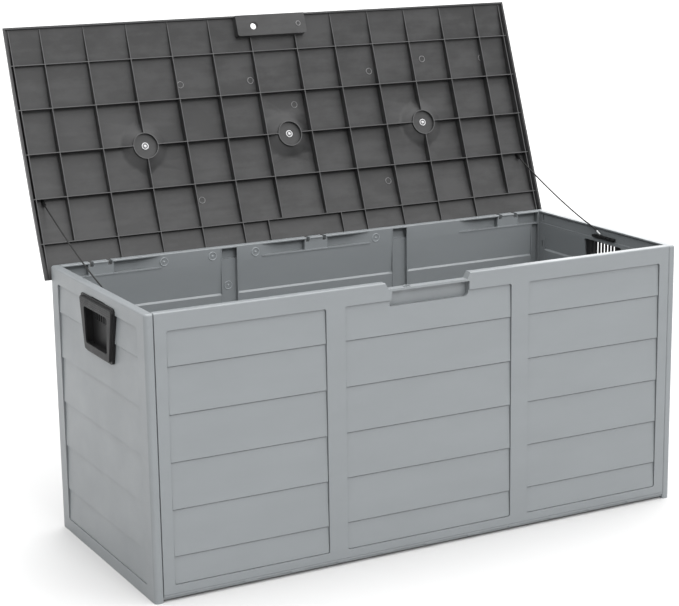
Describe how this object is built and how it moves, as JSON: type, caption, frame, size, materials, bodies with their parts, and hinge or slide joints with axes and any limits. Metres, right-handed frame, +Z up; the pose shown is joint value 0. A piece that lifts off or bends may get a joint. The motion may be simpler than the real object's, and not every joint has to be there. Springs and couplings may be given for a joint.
{
  "type": "deck storage box",
  "caption": "Rectangular outdoor storage box with clapboard-look walls, a domed ribbed lid on pinned hinges, carrying handles and cord lid stays.",
  "frame": {"origin": "centre of the footprint, on the ground, under the middle of the floor panel", "axes": "+X along the front to the right, +Y to the back, +Z up"},
  "size_m": [1.12, 0.6419, 0.9404],
  "materials": {
    "wall_plastic": "moulded light blue-grey, fine grain",
    "lid_plastic": "moulded dark grey, slight sheen",
    "handle_plastic": "moulded charcoal",
    "pin_plastic": "smooth grey",
    "cord_black": "tight black cord",
    "sleeve_metal": "crimped"
  },
  "bodies": {
    "box": {"front_panel": "wall_plastic", "back_panel": "wall_plastic", "left_side_panel": "wall_plastic", "right_side_panel": "wall_plastic", "floor_panel": "wall_plastic", "left_handle": "handle_plastic", "right_handle": "handle_plastic", "left_stay_anchor": "handle_plastic", "right_stay_anchor": "handle_plastic", "left_stay_cord": "cord_black", "right_stay_cord": "cord_black", "left_stay_sleeve": "sleeve_metal", "right_stay_sleeve": "sleeve_metal"},
    "lid": {"lid": "lid_plastic", "hinge_pin_left": "pin_plastic", "hinge_pin_centre": "pin_plastic", "hinge_pin_right": "pin_plastic", "left_stay_clip": "handle_plastic", "right_stay_clip": "handle_plastic"}
  },
  "joints": [
    {"name": "lid_hinge", "type": "hinge", "parent": "box", "child": "lid", "pos_m": [0, 0.228, 0.498], "axis": [-1, 0, 0], "range_deg": [-110.5, 0], "deforming": ["left_stay_cord", "right_stay_cord"]}
  ]
}
